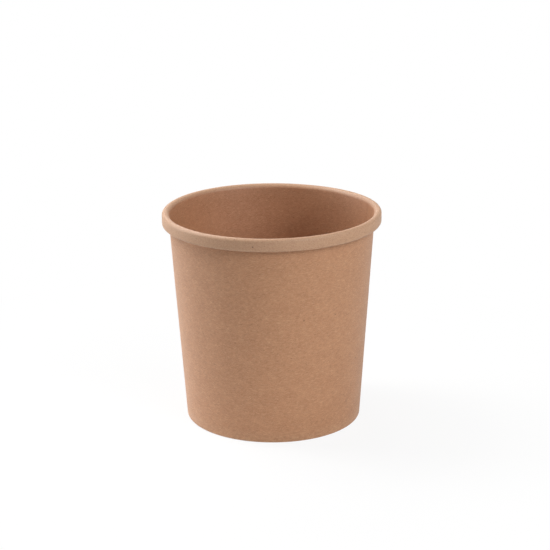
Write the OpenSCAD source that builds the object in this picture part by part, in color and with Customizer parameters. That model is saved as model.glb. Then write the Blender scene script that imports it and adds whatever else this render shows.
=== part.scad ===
// Paper soup cup made of two pieces of board: a wrapped side wall and a round bottom.
// The wall's upper edge is rolled outwards into the rim. Its lower edge is folded inwards
// and up into a hem, which holds the bottom's skirt against the wall.
// Origin: the centre of the foot, on the table. +Z is up. Lengths are in millimetres.

/* [Cup] */
// Height from the table to the top of the rim
cup_h = 96; // [60:1:130]
// Outside diameter of the wall, where its face would meet the table
base_d = 79.6; // [70:0.2:84]
// Outside diameter of the rolled rim
rim_d = 98; // [94:0.5:110]

/* [Board] */
// Thickness of the side wall's board
wall_t = 0.45; // [0.3:0.01:0.6]
// Thickness of the bottom's board
bottom_t = 0.4; // [0.3:0.01:0.6]
// Thickness of the sealing film between two layers of board
seal_t = 0.04; // [0.02:0.01:0.1]

/* [Rim] */
// Height of the rolled rim
rim_h = 5.7; // [5:0.1:8]
// Outer radius of the first bend, where the wall turns outwards
turn_r = 2; // [1.4:0.1:2.4]
// Outer radius of the bends at the top and the bottom of the rim's outer face
rim_edge_r = 1.4; // [1:0.1:1.8]
// Length of the board's free edge, which runs up inside the roll
tuck_l = 1.2; // [0.5:0.1:1.6]
// Gap between the free edge and the wall beside it
tuck_gap = 0.12; // [0.08:0.01:0.2]

/* [Bottom] */
// Height of the bottom's underside above the table
recess_h = 8; // [6:0.5:14]
// Inner radius of the bend between the bottom and its skirt
skirt_bend_r = 0.5; // [0.2:0.1:1]
// Gap between the skirt's lower edge and the fold below it
skirt_gap = 0.25; // [0.1:0.05:0.6]
// Gap between the hem's upper edge and the bottom's underside
hem_gap = 1.5; // [1.2:0.1:3]
// Inner radius of the two bends of the fold at the foot
fold_r = 0.1; // [0.05:0.01:0.18]

/* [Seam] */
// Width of the side seam's overlap, halfway up the wall
lap_w = 8; // [5:0.5:14]
// Direction in which the overlap's cut edge lies, from +X towards +Y
seam_dir = 6; // [-180:1:180]

/* [Hidden] */
$fn = 128;
// Straight pieces in the section of each bend
bend_steps = 8;
base_r = base_d / 2;
rim_r = rim_d / 2;
rim_z = cup_h - rim_h;

// Centres of the rim's two outer bends and of the bend where the wall turns outwards
edge_x = rim_r - rim_edge_r;
crown_c = [edge_x, cup_h - rim_edge_r];
heel_c = [edge_x, rim_z + rim_edge_r];
turn_c = [edge_x, cup_h - turn_r];

// The wall leans outwards so far that its inner face is a tangent to the first bend
lean = acos((turn_r - wall_t) / norm([edge_x - base_r, turn_c.y])) - atan2(turn_c.y, edge_x - base_r);

// The last bend closes the roll, and ends where the free edge runs up beside the wall
close_r = ((edge_x - base_r) * cos(lean) - rim_z * sin(lean) - tuck_gap) / (1 + sin(lean));
close_c = [edge_x, rim_z + close_r];

// Depths of the layers of board at the foot, square to the wall's outer face
skirt_depth = wall_t + seal_t;
hem_depth = skirt_depth + bottom_t + seal_t;
foot_depth = hem_depth + wall_t;
foot_r = fold_r + wall_t;
foot_c = on_layer(foot_r, foot_r);
hem_c = on_layer(foot_depth - foot_r, foot_r);

// The bottom's bend into its skirt
bottom_z = recess_h + bottom_t;
shoulder_r = skirt_bend_r + bottom_t;
shoulder_c = on_layer(skirt_depth + shoulder_r, bottom_z - shoulder_r);

// The outer ply at the seam follows a circle about an axis of its own, so that it stands one
// thickness proud at its cut edge and sinks into the wall's face at the other side of the overlap
mid_r = (base_r + layer_r(0, rim_z)) / 2;
lap_angle = lap_w / mid_r * 180 / PI;
ply_shift = wall_t * (2 * mid_r + wall_t) / (2 * (mid_r + wall_t - mid_r * cos(lap_angle)));

// The ply is turned a quarter, which is further than its face needs to sink into the wall
ply_turn = 90;

// How far the form that cuts the ply free inside the wall runs past its two ends
cut_margin = 1;

// Radius at height z of the surface that lies the given depth inside the wall's outer face
function layer_r(depth, z) = base_r - depth / cos(lean) + z * tan(lean);

// Point of a section on that surface
function on_layer(depth, z) = [layer_r(depth, z), z];

// Points along a round bend of a section
function arc(c, r, from, to) = [
    for (i = [0:bend_steps])
        let (a = from + (to - from) * i / bend_steps)
        c + r * [cos(a), sin(a)]
];

function reversed(points) = [for (i = [len(points) - 1:-1:0]) points[i]];

// One face of the wall's board in section, from the hem's upper edge round the foot, up the
// wall and round the rim to the free edge. The depth is 0 for the wall's outer face and
// wall_t for its inner face, and it shrinks the bends of the foot and widens those of the rim.
function wall_face(depth) = concat(
    [on_layer(foot_depth - depth, recess_h - hem_gap)],
    arc(hem_c, foot_r - depth, 180 - lean, 270),
    arc(foot_c, foot_r - depth, 270, 360 - lean),
    arc(turn_c, turn_r - wall_t + depth, 180 - lean, 90),
    arc(crown_c, rim_edge_r - wall_t + depth, 90, 0),
    arc(heel_c, rim_edge_r - wall_t + depth, 0, -90),
    arc(close_c, close_r - wall_t + depth, -90, -180 - lean),
    [on_layer(depth - wall_t - tuck_gap, close_c.y + tuck_l)]
);

// One face of the bottom's board in section, from the axis to the skirt's lower edge
function bottom_face(depth) = concat(
    [[0, bottom_z - depth]],
    arc(shoulder_c, shoulder_r - depth, 90, -lean),
    [on_layer(skirt_depth + depth, wall_t + skirt_gap)]
);

// A thin round shell between two faces of its board
module turned(outer_face, inner_face) {
    rotate_extrude() polygon(concat(outer_face, reversed(inner_face)));
}

// Everything inside the given depth of the wall, between two heights
module wall_core(depth, z_low, z_high) {
    rotate_extrude()
        polygon([[0, z_low], on_layer(depth, z_low), on_layer(depth, z_high), [0, z_high]]);
}

// The part of the seam's outer ply that stands proud of the wall, rooted halfway into the board.
// It runs from the top of the bend at the foot to the free edge inside the roll.
module proud_ply() {
    z_low = foot_r;
    z_high = close_c.y;
    side = [
        on_layer(foot_depth, z_low),
        on_layer(-wall_t, z_low),
        on_layer(-wall_t, z_high),
        on_layer(foot_depth, z_high)
    ];
    rotate([0, 0, seam_dir])
        difference() {
            translate([ply_shift, 0, 0])
                rotate_extrude(angle = ply_turn)
                    translate([-ply_shift, 0])
                        polygon(side);
            wall_core(wall_t / 2, z_low - cut_margin, z_high + cut_margin);
        }
}

module side_wall() {
    color("#B08868")
        union() {
            turned(wall_face(0), wall_face(wall_t));
            proud_ply();
        }
}

module bottom_disc() {
    color("#A97F60")
        turned(bottom_face(0), bottom_face(bottom_t));
}

side_wall();
bottom_disc();
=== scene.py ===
"""An open paper soup cup of brown kraft board: a wrapped and rolled side wall, and a bottom held in its hem.

The part's frame: origin at the centre of the foot, on the table, with +Z up. Shapes are worked out in
millimetres and go into the meshes in metres.
"""

import math

import bpy
import numpy as np
from mathutils import Matrix, Vector


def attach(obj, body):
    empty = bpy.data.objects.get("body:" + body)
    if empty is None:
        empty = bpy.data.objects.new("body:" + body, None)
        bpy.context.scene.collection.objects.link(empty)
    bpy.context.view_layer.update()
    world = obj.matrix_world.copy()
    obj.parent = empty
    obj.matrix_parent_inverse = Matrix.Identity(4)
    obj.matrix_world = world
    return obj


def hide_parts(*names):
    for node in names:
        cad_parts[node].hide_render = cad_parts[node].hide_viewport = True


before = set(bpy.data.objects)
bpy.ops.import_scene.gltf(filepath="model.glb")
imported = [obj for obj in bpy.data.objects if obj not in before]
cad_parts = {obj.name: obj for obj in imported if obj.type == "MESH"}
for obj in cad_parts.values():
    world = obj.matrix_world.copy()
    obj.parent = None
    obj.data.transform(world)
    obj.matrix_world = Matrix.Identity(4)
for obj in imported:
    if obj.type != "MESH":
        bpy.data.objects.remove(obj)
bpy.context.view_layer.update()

MM = 0.001

# Sizes of the cup in millimetres, the same as in the CAD model but for HEEL_R, the rim's lower outer bend,
# which is 1.4 there
CUP_H = 96.0
BASE_R = 39.8
RIM_R = 49.0
WALL_T = 0.45
BOTTOM_T = 0.40
SEAL_T = 0.04
RIM_H = 5.7
TURN_R = 2.0
RIM_EDGE_R = 1.4
HEEL_R = 1.0
TUCK_L = 1.2
TUCK_GAP = 0.12
RECESS_H = 8.0
SKIRT_BEND_R = 0.5
SKIRT_GAP = 0.25
HEM_GAP = 1.5
FOLD_R = 0.1
LAP_W = 8.0
SEAM_DIR = math.radians(6)

# Sizes that follow from them
RIM_Z = CUP_H - RIM_H
EDGE_X = RIM_R - RIM_EDGE_R
TURN_Z = CUP_H - TURN_R
REACH = math.hypot(EDGE_X - BASE_R, TURN_Z)
LEAN = math.acos((TURN_R - WALL_T) / REACH) - math.atan2(TURN_Z, EDGE_X - BASE_R)
SLOPE = math.tan(LEAN)
ROLL_IN = (EDGE_X - BASE_R) * math.cos(LEAN) - RIM_Z * math.sin(LEAN) - TUCK_GAP
CLOSE_R = ROLL_IN / (1 + math.sin(LEAN))
CLOSE_Z = RIM_Z + CLOSE_R
SKIRT_DEPTH = WALL_T + SEAL_T
FOOT_DEPTH = SKIRT_DEPTH + BOTTOM_T + SEAL_T + WALL_T
FOOT_R = FOLD_R + WALL_T
BOTTOM_Z = RECESS_H + BOTTOM_T
SHOULDER_R = SKIRT_BEND_R + BOTTOM_T
MID_R = BASE_R + 0.5 * RIM_Z * SLOPE
HEM_R = BASE_R - FOOT_DEPTH
LEAN_DEG = math.degrees(LEAN)

# The seam: the outer ply ends at SEAM_DIR and the inner one at INNER_EDGE, and past that the sheet lands
# on the wall's own face within LAND. A cut edge is a face that slants by CUT_SLANT.
LAP = LAP_W / MID_R
INNER_EDGE = SEAM_DIR + LAP
LAND = 3.6 / MID_R
CUT_SLANT = 0.09 / MID_R

# Columns of the wall's grid round the cup: all of them, those over the lap, and those over the landing
WALL_COLUMNS = 676
LAP_COLUMNS = 15
LAND_COLUMNS = 9

# Fine forms in millimetres: the hem's knurls, the lines that the seam's clamp leaves, the sag of the bottom,
# the puckers of its bend, and how far the rim as a whole stands under its height in the CAD model
KNURLS = 112
KNURL_DEPTH = 0.11
CLAMP_DEPTH = 0.03
CLAMP_W = 0.6
SAG = 0.16
PUCKER = 0.045
RIM_DROP = 0.046

# Where the second face of each sheet starts on the flat map, clear of the first, in millimetres
WALL_BACK = (300, 170)
BOTTOM_BACK = (300, 0)

# Faces that meet at more than this angle show an edge
SHARP = math.radians(38)


# Helpers for shapes


def smooth(x, low, high):
    """3t^2 - 2t^3, where t is the share of the way from low to high, kept between 0 and 1. It falls as x
    grows where low is the greater of the two."""
    t = np.clip((np.asarray(x, float) - low) / (high - low), 0, 1)
    return t * t * (3 - 2 * t)


def waves(angle, parts):
    """The sum of size * cos(order * angle + phase) over the parts, each (order, size, phase)."""
    return sum(size * np.cos(order * angle + phase) for order, size, phase in parts)


def on_layer(depth, z):
    """The point at height z that lies depth inside the wall's outer face, which leans by LEAN."""
    return np.array([BASE_R - depth / math.cos(LEAN) + z * SLOPE, z])


def bend(centre, radius, start, end, steps, into):
    """Points centre + radius * (cos a, sin a), with a from start to end in degrees. The board lies towards
    the centre where into is -1, and away from it where into is 1."""
    a = np.radians(np.linspace(start, end, steps + 1))
    ray = np.stack([np.cos(a), np.sin(a)], 1)
    return np.asarray(centre) + radius * ray, into * ray


def section(parts):
    """Joins bends, lone points and the straight runs between them into one line. A part is (points,
    directions into the board, steps of the straight run that leads to it). Doubled points are left out."""
    points, into = [parts[0][0]], [parts[0][1]]
    for found, ways, steps in parts[1:]:
        t = np.linspace(0, 1, steps + 1)[1:-1, None]
        points.append(points[-1][-1] * (1 - t) + found[0] * t)
        into.append(np.repeat(ways[:1], len(t), 0))
        points.append(found)
        into.append(ways)
    points, into = np.concatenate(points), np.concatenate(into)
    keep = np.append(True, np.hypot(*np.diff(points, axis=0).T) > 1e-6)
    return points[keep], into[keep]


def wall_section():
    """The wall's outer face in section: from the hem's upper edge down, round the fold at the foot, up the
    wall, over the rim and round to the free edge inside the roll."""
    hem_c = on_layer(FOOT_DEPTH - FOOT_R, FOOT_R)
    foot_c = on_layer(FOOT_R, FOOT_R)
    side = np.array([[math.cos(LEAN), -math.sin(LEAN)]])
    hem_end = on_layer(FOOT_DEPTH, RECESS_H - HEM_GAP)[None]
    tuck_end = on_layer(-WALL_T - TUCK_GAP, CLOSE_Z + TUCK_L)[None]
    return section([
        (hem_end, side, 1),
        (*bend(hem_c, FOOT_R, 180 - LEAN_DEG, 270, 5, -1), 4),
        (*bend(foot_c, FOOT_R, 270, 360 - LEAN_DEG, 6, -1), 1),
        (*bend((EDGE_X, TURN_Z), TURN_R - WALL_T, 180 - LEAN_DEG, 90, 10, 1), 18),
        (*bend((EDGE_X, CUP_H - RIM_EDGE_R), RIM_EDGE_R - WALL_T, 90, 0, 8, 1), 1),
        (*bend((RIM_R - HEEL_R, RIM_Z + HEEL_R), HEEL_R - WALL_T, 0, -90, 7, 1), 4),
        (*bend((EDGE_X, CLOSE_Z), CLOSE_R - WALL_T, -90, -180 - LEAN_DEG, 5, 1), 1),
        (tuck_end, -side, 1),
    ])


def length_along(points):
    """The length of the line up to each of its points."""
    return np.append(0, np.cumsum(np.hypot(*np.diff(points, axis=0).T)))


def turned(points, angle):
    """Points (radius, height) turned to the angles round +Z."""
    return np.stack([points[..., 0] * np.cos(angle), points[..., 0] * np.sin(angle), points[..., 1]], -1)


def loose_form(points, angle):
    """The cup isn't a perfect cone. Each point moves outwards by a sum of waves round the cup, which turns
    from the foot's oval into the upper part's as the height grows, and fades towards the axis with the
    square of the radius. The rim dips by waves of its own, and by RIM_DROP as a whole."""
    r, z = points[..., 0], points[..., 1]
    spread = np.clip(r / HEM_R, 0, 1) ** 2
    grown = smooth(z, BOTTOM_Z + 2, 60)
    at_rim = smooth(z, RIM_Z - 12, RIM_Z)

    # The sizes are in millimetres. The soft waves wind round the wall and are a quarter as large on the rim.
    foot_oval = waves(angle, [(2, 0.179, 1.64), (3, 0.104, 1.62)])
    oval = waves(angle, [(2, 0.055, -0.4), (3, 0.202, -2.06), (4, 0.09, 0.87)])
    soft = waves(angle + 0.02 * z, [(5, 0.02, 1.3), (9, 0.01, 4.0), (14, 0.006, 0.4)]) * (1 - 0.75 * at_rim)
    dip = waves(angle, [(1, 0.182, -0.04), (2, 0.176, 1.75), (3, 0.092, -0.5), (11, 0.006, 2.7)])
    out = (1 - grown) * foot_oval + grown * (oval + soft)
    return np.stack([r + spread * out, z + at_rim * (dip - RIM_DROP)], -1)


# Meshes


def make_piece(name, points, quads, fans, blank, finish, materials, marks):
    """Puts the arrays into a mesh: points in millimetres, faces by their corners, four to a quad and three
    to a face of a fan, each corner's place on the flat blank in millimetres, the number of each face's
    material, and marks, which are numbers by point."""
    mesh = bpy.data.meshes.new(name)
    mesh.from_pydata(points * MM, [], [*quads.tolist(), *fans.tolist()])
    mesh.uv_layers.new(name="blank").uv.foreach_set("vector", (blank * MM).astype(np.float32).ravel())
    for label, values in marks.items():
        layer = mesh.attributes.new(label, "FLOAT", "POINT")
        layer.data.foreach_set("value", values.astype(np.float32).ravel())
    for material in materials:
        mesh.materials.append(material)
    mesh.polygons.foreach_set("material_index", finish.astype(np.int32))
    mesh.polygons.foreach_set("use_smooth", np.ones(len(finish), bool))
    mesh.set_sharp_from_angle(angle=SHARP)
    mesh.update()
    piece = bpy.data.objects.new(name, mesh)
    bpy.context.scene.collection.objects.link(piece)
    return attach(piece, "root")


def ring_quads(columns, rows):
    """Faces of a grid whose points are numbered column * rows + row, closed round the columns and round the
    rows."""
    c, r = np.meshgrid(np.arange(columns), np.arange(rows), indexing="ij")
    right, up = (c + 1) % columns, (r + 1) % rows
    return np.stack([c * rows + r, right * rows + r, right * rows + up, c * rows + up], -1)


def wall_columns():
    """Directions of the grid's columns, from the outer ply's cut edge once round, and the number of the last
    column before the inner ply's cut edge. Two columns stand close together at each cut edge, and the others
    are spaced evenly, but closer over the seam."""
    lap = np.linspace(SEAM_DIR, INNER_EDGE - CUT_SLANT / 2, LAP_COLUMNS)
    land = np.linspace(INNER_EDGE + CUT_SLANT / 2, INNER_EDGE + LAND, LAND_COLUMNS)
    others = WALL_COLUMNS - LAP_COLUMNS - LAND_COLUMNS
    rest = np.linspace(INNER_EDGE + LAND, SEAM_DIR + 2 * math.pi - CUT_SLANT, others + 1)
    return np.concatenate([lap, land, rest[1:]]), LAP_COLUMNS - 1


def wall_piece(materials):
    """The side wall as one closed sheet. Each face of the board is its line in section, moved into the board
    by that face's depth: 0 for the outer face and WALL_T for the inner one. Over the seam the depth of the
    outer face steps out by one thickness at the outer ply's cut edge, that of the inner face steps out at
    the inner ply's cut edge, and past it both come back. The steps are pressed flat at the foot and nearly
    so on the rim."""
    line, into = wall_section()
    angle, inner_step = wall_columns()
    s = length_along(line)
    z = line[:, 1]
    foot = int(np.argmin(z))
    top_s = s[np.argmax(z)]
    on_hem = np.arange(len(s)) < foot
    on_roll = s > top_s
    past_turn = on_roll | (z > TURN_Z)

    # How much of the step shows along the line
    outer_show = smooth(z, 0.1, 1.6) * np.where(past_turn, 0, 1 - smooth(z, RIM_Z, RIM_Z + 1.3))
    inner_show = smooth(z, BOTTOM_Z + 0.4, BOTTOM_Z + 3) * (1 - 0.6 * smooth(z, RIM_Z - 5, RIM_Z))
    inner_show = np.where(past_turn, 0.4, np.where(on_hem, 0, inner_show))

    # How far the sheet stands out round the cup, and two lines that the seam's clamp leaves, 2 mm before the
    # lap and 6 mm past it
    a = angle[:, None]
    landing = 1 - smooth(a, INNER_EDGE, INNER_EDGE + LAND)
    sides = (SEAM_DIR + 2 * math.pi - 0.05, INNER_EDGE + 0.14)
    clamp = sum(np.exp(-(((a - side) * MID_R / CLAMP_W) ** 2)) for side in sides)
    clamp = clamp * smooth(z, 3, 7) * (1 - smooth(z, RIM_Z - 6, RIM_Z - 2)) * ~past_turn * ~on_hem
    outer = -WALL_T * landing * outer_show + CLAMP_DEPTH * clamp
    inner = WALL_T - WALL_T * np.where(a < INNER_EDGE, 0, landing) * inner_show

    # The hem is knurled, which presses the bottom's skirt tight
    band = smooth(z, 1.2, 1.9) * (1 - smooth(z, 5.0, 5.7)) * on_hem
    outer = outer + KNURL_DEPTH * band * (0.5 + 0.5 * np.cos(KNURLS * a)) ** 2

    faces = [line + depth[..., None] * into for depth in (outer, inner)]
    rows = np.concatenate([faces[0], faces[1][:, ::-1]], 1)
    points = turned(loose_form(rows, a), a)
    count, height = points.shape[:2]
    quads = ring_quads(count, height)

    # The flat blank is a sector of a ring: a point's ray turns by sin(LEAN) for each turn round the cup
    apex = BASE_R / math.sin(LEAN)
    ends = np.append(angle, SEAM_DIR + 2 * math.pi)
    outer_turn = LAP + 2 * math.pi - (ends - SEAM_DIR)
    inner_turn = INNER_EDGE - ends + np.where(ends < INNER_EDGE, 0, 2 * math.pi)
    row_s = np.append(np.concatenate([s, s[::-1]]), s[0]) - s[foot]
    row_turn = np.repeat([0, 1], len(s))
    turn = np.stack([outer_turn, inner_turn])
    left = turn[:, :-1][row_turn].T
    right = turn[:, 1:][row_turn].T
    right[inner_step] = left[inner_step]
    spread = (np.stack([left, right, right, left], -1) - math.pi - LAP / 2) * math.sin(LEAN)
    low, up = row_s[:-1], row_s[1:]
    ray = apex + np.stack([low, low, up, up], -1)
    blank = np.stack([ray * np.sin(spread), ray * np.cos(spread) - apex], -1)
    blank[:, len(s):] += WALL_BACK

    # 0 is the bare outer face, 1 the film-lined inner face, 2 the cut edges
    finish = np.tile(np.repeat([0, 1], len(s)), (count, 1))
    finish[:, [len(s) - 1, height - 1]] = 2
    finish[-1, : len(s) - 1] = np.where(outer_show[1:] > 0.3, 2, 0)
    finish[inner_step, len(s): height - 1] = np.where(inner_show[::-1][1:] > 0.3, 2, 1)

    # The board is paler where it is bent most and along the roll's lower part, pressed dense where its plies
    # are sealed, and stretched from the rim's first bend on
    curved = smooth(np.abs(z - 0.1), 0.9, 0.1) + 0.55 * smooth(np.abs(s - top_s - 2), 2.4, 0.6)
    # The roll's lower part, up to 1.2 mm over the rim's lowest point, is paler as well
    curved = curved + 0.45 * (on_roll & (z < RIM_Z + 1.2))
    dense = smooth(a, SEAM_DIR - 0.01, SEAM_DIR) * smooth(a, INNER_EDGE + 0.06, INNER_EDGE)
    rolled = smooth(s, top_s - 2.5, top_s - 0.8) * ~on_hem
    marks = {
        "fold": np.tile(np.concatenate([curved, curved[::-1]]), (count, 1)),
        "sealed": np.tile(dense, (1, height)),
        "stretched": np.tile(np.concatenate([rolled, rolled[::-1]]), (count, 1)),
    }
    points, quads, flat = points.reshape(-1, 3), quads.reshape(-1, 4), blank.reshape(-1, 2)
    fans = np.zeros((0, 3), int)
    return make_piece("wrapped_wall", points, quads, fans, flat, finish.ravel(), materials, marks)


def bottom_piece(materials):
    """The bottom as one closed sheet: a disc that sags a little, a round bend and a skirt down to the fold.
    The bend is puckered by waves round it, as the round blank's edge has to get shorter when it is turned
    down."""
    columns = 300
    shoulder_c = on_layer(SKIRT_DEPTH + SHOULDER_R, BOTTOM_Z - SHOULDER_R)
    skirt_end = on_layer(SKIRT_DEPTH, WALL_T + SKIRT_GAP)[None]
    side = np.array([[-math.cos(LEAN), math.sin(LEAN)]])
    down = np.array([[0.0, -1.0]])
    line, into = section([
        (np.array([[0.0, BOTTOM_Z]]), down, 1),
        (np.array([[30.0, BOTTOM_Z]]), down, 12),
        (*bend(shoulder_c, SHOULDER_R, 90, -LEAN_DEG, 8, -1), 8),
        (skirt_end, side, 5),
    ])
    angle = np.linspace(0, 2 * math.pi, columns, endpoint=False)
    a = angle[:, None]
    s = length_along(line)

    # Sag of the disc, and puckers that point away from the wall
    flat_r = shoulder_c[0]
    q = np.clip(line[:, 0] / flat_r, 0, 1) ** 2
    sag = SAG * (1 - q) ** 2 * (1 + 0.3 * q * np.cos(2 * a + 1))
    pucker = waves(a, [(31, 0.5, 0.3), (47, 0.35, 1.7), (74, 0.3, 4.1)])
    at_bend = smooth(s, flat_r - 2.5, flat_r) * (1 - smooth(s, flat_r + 0.8, flat_r + 2.2))
    tuck = PUCKER * at_bend * (1 + pucker) / 2

    faces = [line + (depth + tuck)[..., None] * into for depth in (0, BOTTOM_T)]
    rows = np.concatenate([faces[0], faces[1][:, ::-1]], 1)
    rows[..., 1] -= np.concatenate([sag, sag[:, ::-1]], 1)
    height = rows.shape[1]
    grid = turned(loose_form(rows, a), a)
    points = grid[:, 1:-1]
    poles = np.stack([grid[0, 0], grid[0, -1]])
    body = height - 2
    top_pole, low_pole = columns * body, columns * body + 1
    c = np.arange(columns)
    after = (c + 1) % columns
    quads = ring_quads(columns, body)[:, :-1].reshape(-1, 4)[:, ::-1]
    top_fan = np.stack([np.full(columns, top_pole), c * body, after * body], -1)
    low_fan = np.stack([np.full(columns, low_pole), after * body + body - 1, c * body + body - 1], -1)
    fans = np.concatenate([top_fan, low_fan])

    # The flat blank is a disc: its radius is the length along the section, and its angle the one round the
    # cup
    row_s = np.concatenate([s, s[::-1]])[1:-1]
    place = np.stack([row_s * np.cos(a), row_s * np.sin(a)], -1)
    place = np.concatenate([place.reshape(-1, 2), [[0, 0], [0, 0]]])
    flat = place[np.concatenate([quads.ravel(), fans.ravel()])]

    # 0 is the bare underside, 1 the film-lined upper face, 2 the cut edge
    by_row = np.repeat([1, 2, 0], [len(s) - 2, 1, body - len(s)])
    finish = np.concatenate([np.tile(by_row, columns), np.repeat([1, 0], columns)])
    corners = np.repeat([4, 3], [len(quads), len(fans)])
    flat[np.repeat(finish == 0, corners)] += BOTTOM_BACK
    curved = smooth(np.abs(row_s - flat_r - 0.6), 1.6, 0.3)
    points = np.concatenate([points.reshape(-1, 3), poles])
    marks = {
        "fold": np.append(np.tile(curved, columns), [0, 0]),
        "sealed": np.append(np.tile(0.6 * smooth(row_s, s[-1] - 6, s[-1] - 4), columns), [0, 0]),
        "stretched": np.zeros(len(points)),
    }
    return make_piece("round_bottom", points, quads, fans, flat, finish, materials, marks)


# Materials

# The board's patterns: size along and across in millimetres, turn in degrees, detail, how much they wander,
# and their share in the sheet's tone. Real fibres are 0.03 mm wide, which is too fine to show, so the hairs
# are clumps that are 0.16 mm wide and more.
LAYERS = {
    "clouds": (9.0, 6.0, 8, 2, 0.0, 0.50),
    "mottle": (2.1, 1.35, 0, 3, 0.0, 0.85),
    "grain": (0.62, 0.42, 20, 3, 0.0, 0.80),
    "run": (2.8, 0.22, 3, 1, 0.5, 0.35),
    "pale_hair": (2.4, 0.17, 14, 1, 0.5, 0),
    "pale_cross": (2.0, 0.16, -47, 1, 0.5, 0),
    "dark_hair": (2.2, 0.18, -21, 1, 0.5, 0),
    "dark_cross": (1.7, 0.16, 58, 1, 0.5, 0),
}

# Hairs are the crests of the long, thin patterns: the pattern, its tone, where a crest starts, and its share
HAIRS = (
    ("pale_hair", "pale_fibre", 0.60, 0.50),
    ("pale_cross", "pale_fibre", 0.63, 0.40),
    ("dark_hair", "dark_fibre", 0.62, 0.42),
    ("dark_cross", "dark_fibre", 0.65, 0.34),
)
CREST_W = 0.10
HAIR_RELIEF = 0.8

# Most of a pattern's values lie between these two
NOISE_LOW, NOISE_HIGH = 0.35, 0.65

# Shares of their tones where the board is sealed and where it holds bark, what a stretch adds to the
# roughness, and in millimetres the spacing of the bark specks and the height of the relief
SEALED_SHARE = 0.16
BARK_SHARE = 0.62
STRETCH_ROUGH = 0.06
SPECK_CELL = 6.0
RELIEF_H = 0.05


def linear(hex_colour):
    """An sRGB colour such as #B08868 as linear red, green, blue and alpha."""
    c = np.array([int(hex_colour[i: i + 2], 16) for i in (1, 3, 5)]) / 255
    c = np.where(c <= 0.04045, c / 12.92, ((c + 0.055) / 1.055) ** 2.4)
    return (*c.tolist(), 1.0)


def add(tree, kind, settings=None, links=None):
    """Adds a node. Settings in small letters are its own properties, the others are its sockets' values, by
    name or number. Links give the output that feeds a socket."""
    made = tree.nodes.new("ShaderNode" + kind)
    for key, value in (settings or {}).items():
        if isinstance(key, str) and key[0].islower():
            setattr(made, key, value)
        else:
            made.inputs[key].default_value = value
    for key, source in (links or {}).items():
        tree.links.new(source, made.inputs[key])
    return made


def new_material(name):
    """An empty node material and the output that its shader goes to."""
    material = bpy.data.materials.new(name)
    material.use_nodes = True
    material.node_tree.nodes.clear()
    return material, material.node_tree, add(material.node_tree, "OutputMaterial").inputs["Surface"]


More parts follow.
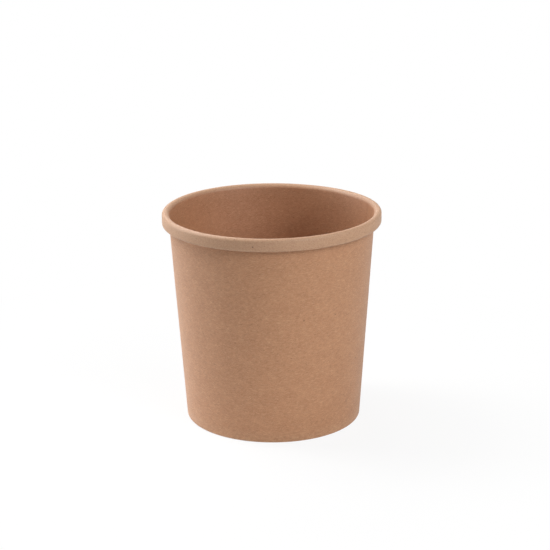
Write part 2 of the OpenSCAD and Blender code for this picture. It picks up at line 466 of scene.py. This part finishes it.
def kraft_board(name, tones, look, flecks=()):
    """Kraft board: unbleached softwood pulp. Fibres 2 to 3 mm long lie in the sheet at all angles, more of
    them along the machine's run, and clump into clouds, which gives the eye fine mottling, pale and dark
    hairs and now and then a dark speck of bark. tones are hex colours, look the shader's numbers, and flecks
    the specks that have a place, as (u, v, radius) in millimetres on the flat blank."""
    material, tree, surface = new_material(name)
    sheet = add(tree, "UVMap", {"uv_map": "blank"}).outputs["UV"]
    marks = ("fold", "sealed", "stretched")
    fold, sealed, stretched = (add(tree, "Attribute", {"attribute_name": m}).outputs["Fac"] for m in marks)

    field = {}
    for label, (along, across, turn, detail, wander, _) in LAYERS.items():
        pitch = (along * MM, across * MM, 1)
        place = {"vector_type": "TEXTURE", "Rotation": (0, 0, math.radians(turn)), "Scale": pitch}
        placed = add(tree, "Mapping", place, {"Vector": sheet}).outputs[0]
        noise = {"noise_dimensions": "2D", "Scale": 1.0, "Detail": float(detail), "Roughness": 0.6}
        wandering = {**noise, "Distortion": wander}
        field[label] = add(tree, "TexNoise", wandering, {"Vector": placed}).outputs[0]

    # The tone starts below a half so that the patterns' shares bring its mean to a half
    shares = {label: layer[-1] for label, layer in LAYERS.items() if layer[-1]}
    start = 0.5 - 0.5 * sum(shares.values())
    tone = None
    for label, share in shares.items():
        links = {0: field[label]} if tone is None else {0: field[label], 2: tone}
        tone = add(tree, "Math", {"operation": "MULTIPLY_ADD", 1: share, 2: start}, links).outputs[0]
    ends = {"data_type": "RGBA", 6: linear(tones["deep"]), 7: linear(tones["pale"])}
    colour = add(tree, "Mix", ends, {0: tone}).outputs[2]

    # What lies over that tone, in order: its share at each place, and its own tone. The hairs come first, and
    # stand out of the sheet too.
    covers = []
    height = tone
    for label, shade, crest, share in HAIRS:
        crests = {"interpolation_type": "SMOOTHSTEP", 1: crest, 2: crest + CREST_W, 3: 0.0, 4: share}
        mask = add(tree, "MapRange", crests, {0: field[label]}).outputs[0]
        raised = {"operation": "MULTIPLY_ADD", 1: HAIR_RELIEF}
        height = add(tree, "Math", raised, {0: mask, 2: height}).outputs[0]
        covers.append((mask, shade))

    # Folds are a little paler, in patches, and the sealed seam a little darker
    usual = {1: NOISE_LOW, 2: NOISE_HIGH}
    patchy = add(tree, "MapRange", {**usual, 3: 0.10, 4: 0.42}, {0: field["mottle"]}).outputs[0]
    pale_bend = add(tree, "Math", {"operation": "MULTIPLY", "use_clamp": True}, {0: fold, 1: patchy}).outputs[0]
    pressed = add(tree, "Math", {"operation": "MULTIPLY", 1: SEALED_SHARE}, {0: sealed}).outputs[0]
    covers += [(pale_bend, "pale_bend"), (pressed, "dense")]

    # Where the board is stretched over the rim, its film turns a little cloudy, in grains
    grainy = add(tree, "MapRange", {**usual, 3: 0.28, 4: 0.72}, {0: field["grain"]}).outputs[0]
    cloudy = add(tree, "Math", {"operation": "MULTIPLY"}, {0: stretched, 1: grainy}).outputs[0]
    covers.append((cloudy, "hazed"))

    # Bark specks: one cell in three holds a speck, up to 0.4 mm across
    cell = {"voronoi_dimensions": "2D", "Scale": 1 / (SPECK_CELL * MM), "Randomness": 1.0}
    cells = add(tree, "TexVoronoi", cell, {"Vector": sheet})
    luck = add(tree, "SeparateColor", links={0: cells.outputs["Color"]}).outputs[0]
    size = add(tree, "MapRange", {1: 0.66, 2: 1.0, 3: 0.0, 4: 0.034}, {0: luck}).outputs[0]
    speck = add(tree, "Math", {"operation": "LESS_THAN"}, {0: cells.outputs["Distance"], 1: size}).outputs[0]
    for u, v, radius in flecks:
        away = add(tree, "VectorMath", {"operation": "DISTANCE", 1: (u * MM, v * MM, 0)}, {0: sheet})
        edge = {"interpolation_type": "SMOOTHSTEP", 1: radius * MM, 2: 0.4 * radius * MM, 3: 0.0, 4: 1.0}
        spot = add(tree, "MapRange", edge, {0: away.outputs["Value"]}).outputs[0]
        speck = add(tree, "Math", {"operation": "MAXIMUM"}, {0: speck, 1: spot}).outputs[0]
    speck = add(tree, "Math", {"operation": "MULTIPLY", 1: BARK_SHARE}, {0: speck}).outputs[0]
    covers.append((speck, "bark"))

    for mask, shade in covers:
        laid = {"data_type": "RGBA", 7: linear(tones[shade])}
        colour = add(tree, "Mix", laid, {0: mask, 6: colour}).outputs[2]

    low, high = look["roughness"]
    rough = add(tree, "MapRange", {1: 0.3, 2: 0.7, 3: low, 4: high}, {0: field["mottle"]}).outputs[0]
    rougher = {"operation": "MULTIPLY_ADD", 1: STRETCH_ROUGH}
    rough = add(tree, "Math", rougher, {0: stretched, 2: rough}).outputs[0]
    relief = {"Strength": look["relief"], "Distance": RELIEF_H * MM}
    bump = add(tree, "Bump", relief, {"Height": height}).outputs[0]
    links = {"Base Color": colour, "Roughness": rough, "Normal": bump}
    shader = add(tree, "BsdfPrincipled", {"IOR": 1.5, **look["shader"]}, links)
    tree.links.new(shader.outputs[0], surface)
    return material


# Bare kraft: dry pulp fibres scatter all the light, so it is matt with hardly any gloss
bare_kraft = kraft_board(
    "uncoated_kraft_board",
    {
        "deep": "#A87653",
        "pale": "#C4926D",
        "pale_fibre": "#D7AE89",
        "dark_fibre": "#82583A",
        "bark": "#55371F",
        "pale_bend": "#D2AE8E",
        "dense": "#8C6547",
        "hazed": "#B08868",
    },
    {
        "roughness": (0.62, 0.74),
        "relief": 0.55,
        "shader": {"Specular IOR Level": 0.5, "Sheen Weight": 0.16, "Sheen Roughness": 0.5},
    },
    flecks=((-73.48, 54.18, 0.5), (-89.11, 52.41, 0.42), (-102.03, 25.01, 0.5)),
)

# Film-lined kraft: the extruded film fills the pores, which deepens the brown and leaves a soft, low gloss
lined_kraft = kraft_board(
    "film_lined_kraft_board",
    {
        "deep": "#9F6E4E",
        "pale": "#B78665",
        "pale_fibre": "#CDA07C",
        "dark_fibre": "#7E5334",
        "bark": "#55371F",
        "pale_bend": "#CDA987",
        "dense": "#86593B",
        "hazed": "#C2A083",
    },
    {
        "roughness": (0.48, 0.62),
        "relief": 0.28,
        "shader": {"Specular IOR Level": 0.5, "Coat Weight": 0.10, "Coat Roughness": 0.34},
    },
    flecks=((243.95, 268.39, 0.5),),
)

# Cut board: torn fibres stand up along the die's cut, which makes the edge paler and rougher than the faces
cut_kraft = kraft_board(
    "die_cut_kraft_edge",
    {
        "deep": "#AE8868",
        "pale": "#D0AE90",
        "pale_fibre": "#DCC0A4",
        "dark_fibre": "#8A664A",
        "bark": "#55371F",
        "pale_bend": "#D8B698",
        "dense": "#A88262",
        "hazed": "#C09C7E",
    },
    {"roughness": (0.9, 1.0), "relief": 0.9, "shader": {"Specular IOR Level": 0.2}},
)

wall = wall_piece([bare_kraft, lined_kraft, cut_kraft])
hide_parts("side_wall")

bottom = bottom_piece([bare_kraft, lined_kraft, cut_kraft])
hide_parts("bottom_disc")


# Studio

# Softboxes, all at one distance from the cup in metres: azimuth and elevation in degrees, where azimuth 0 is
# the camera's side and 90 is +X, the width in metres and the power in watts
SOFTBOX_AWAY = 1.0
SOFTBOXES = {
    "left_softbox": (-105, 40, 0.35, 4.3),
    "left_low_softbox": (-105, 8, 0.35, 3.1),
    "left_high_softbox": (-120, 56, 0.35, 4.6),
    "right_front_softbox": (30, 40, 0.35, 2.2),
    "right_low_softbox": (45, 24, 0.35, 3.1),
    "right_side_softbox": (75, 40, 0.35, 1.7),
    "back_softbox": (-160, 38, 0.5, 2.0),
}


def soft_light(name, azimuth, elevation, width, power):
    """A square area light, aimed at the middle of the cup from SOFTBOX_AWAY."""
    a, e = math.radians(azimuth), math.radians(elevation)
    back = Vector((math.sin(a) * math.cos(e), -math.cos(a) * math.cos(e), math.sin(e)))
    middle = Vector((0, 0, 0.5 * CUP_H * MM))
    data = bpy.data.lights.new(name, "AREA")
    data.size = width
    data.energy = power
    lamp = bpy.data.objects.new(name, data)
    lamp.location = middle + SOFTBOX_AWAY * back
    lamp.rotation_euler = (lamp.location - middle).to_track_quat("Z", "Y").to_euler()
    bpy.context.scene.collection.objects.link(lamp)


def background_share(tree):
    """1 for rays from the camera and for those that gloss or glass sends on, and 0 for the light that falls
    on the object."""
    path = add(tree, "LightPath")
    share = path.outputs["Is Camera Ray"]
    for name in ("Is Glossy Ray", "Is Transmission Ray"):
        share = add(tree, "Math", {"operation": "MAXIMUM"}, {0: share, 1: path.outputs[name]}).outputs[0]
    return share


def white_world(strength):
    """A white surround: 1 where it is seen, and the given strength as light on the object."""
    world = bpy.data.worlds.new("white_surround")
    bpy.context.scene.world = world
    world.use_nodes = True
    tree = world.node_tree
    tree.nodes.clear()
    lit = add(tree, "Background", {"Color": (1, 1, 1, 1), "Strength": strength})
    seen = add(tree, "Background", {"Color": (1, 1, 1, 1), "Strength": 1.0})
    share = background_share(tree)
    mix = add(tree, "MixShader", links={0: share, 1: lit.outputs[0], 2: seen.outputs[0]})
    add(tree, "OutputWorld", links={"Surface": mix.outputs[0]})


def white_floor(glow):
    """A matt white table top. As a background it is plain white away from the cup, and beside the cup glow
    is the share of plain white. The rest stays matt there, which keeps the cup's shadow."""
    half, gap = 0.3, 0.1 * MM
    corners = [(-half, -half, -gap), (half, -half, -gap), (half, half, -gap), (-half, half, -gap)]
    mesh = bpy.data.meshes.new("table_top")
    mesh.from_pydata(corners, [], [(0, 1, 2, 3)])
    material, tree, surface = new_material("matt_white_table_laminate")
    matt = add(tree, "BsdfDiffuse", {"Color": linear("#F2F2F2")})
    plain = add(tree, "Emission", {"Color": (1, 1, 1, 1), "Strength": 1.0})
    near, far = 0.05, 0.22
    place = add(tree, "TexCoord").outputs["Object"]
    away = add(tree, "VectorMath", {"operation": "LENGTH"}, {0: place}).outputs["Value"]
    plain_share = add(tree, "MapRange", {1: near, 2: far, 3: glow, 4: 1.0}, {0: away}).outputs[0]
    links = {0: background_share(tree), 1: plain_share}
    share = add(tree, "Math", {"operation": "MULTIPLY"}, links).outputs[0]
    mix = add(tree, "MixShader", links={0: share, 1: matt.outputs[0], 2: plain.outputs[0]})
    tree.links.new(mix.outputs[0], surface)
    mesh.materials.append(material)
    floor = bpy.data.objects.new("table_top", mesh)
    bpy.context.scene.collection.objects.link(floor)


def photo_camera():
    """The camera as it was fitted to the cup's outlines: it aims at a point near the cup's upper third, from
    17.5 degrees above, and is turned by half a degree about its own axis. The focal length was found in
    pixels of a picture that is 550 wide."""
    elevation, roll, distance = 0.3048, -0.0079, 0.7194
    target = Vector((1.193, 0, 65.13)) * MM
    sensor, focal, picture = 36, 1588.5, 550
    back = Vector((0, -math.cos(elevation), math.sin(elevation)))
    right = Vector((1, 0, 0))
    up = back.cross(right)
    turned_right = math.cos(roll) * right + math.sin(roll) * up
    turned_up = math.cos(roll) * up - math.sin(roll) * right
    data = bpy.data.cameras.new("photo_camera")
    data.sensor_width = sensor
    data.lens = sensor * focal / picture
    camera = bpy.data.objects.new("photo_camera", data)
    turn = Matrix((turned_right, turned_up, back)).transposed().to_4x4()
    camera.matrix_world = Matrix.Translation(target + distance * back) @ turn
    bpy.context.scene.collection.objects.link(camera)
    bpy.context.scene.camera = camera


photo_camera()
white_world(strength=0.05)
white_floor(glow=0.88)
for name, settings in SOFTBOXES.items():
    soft_light(name, *settings)
bpy.context.scene.view_settings.view_transform = "Standard"
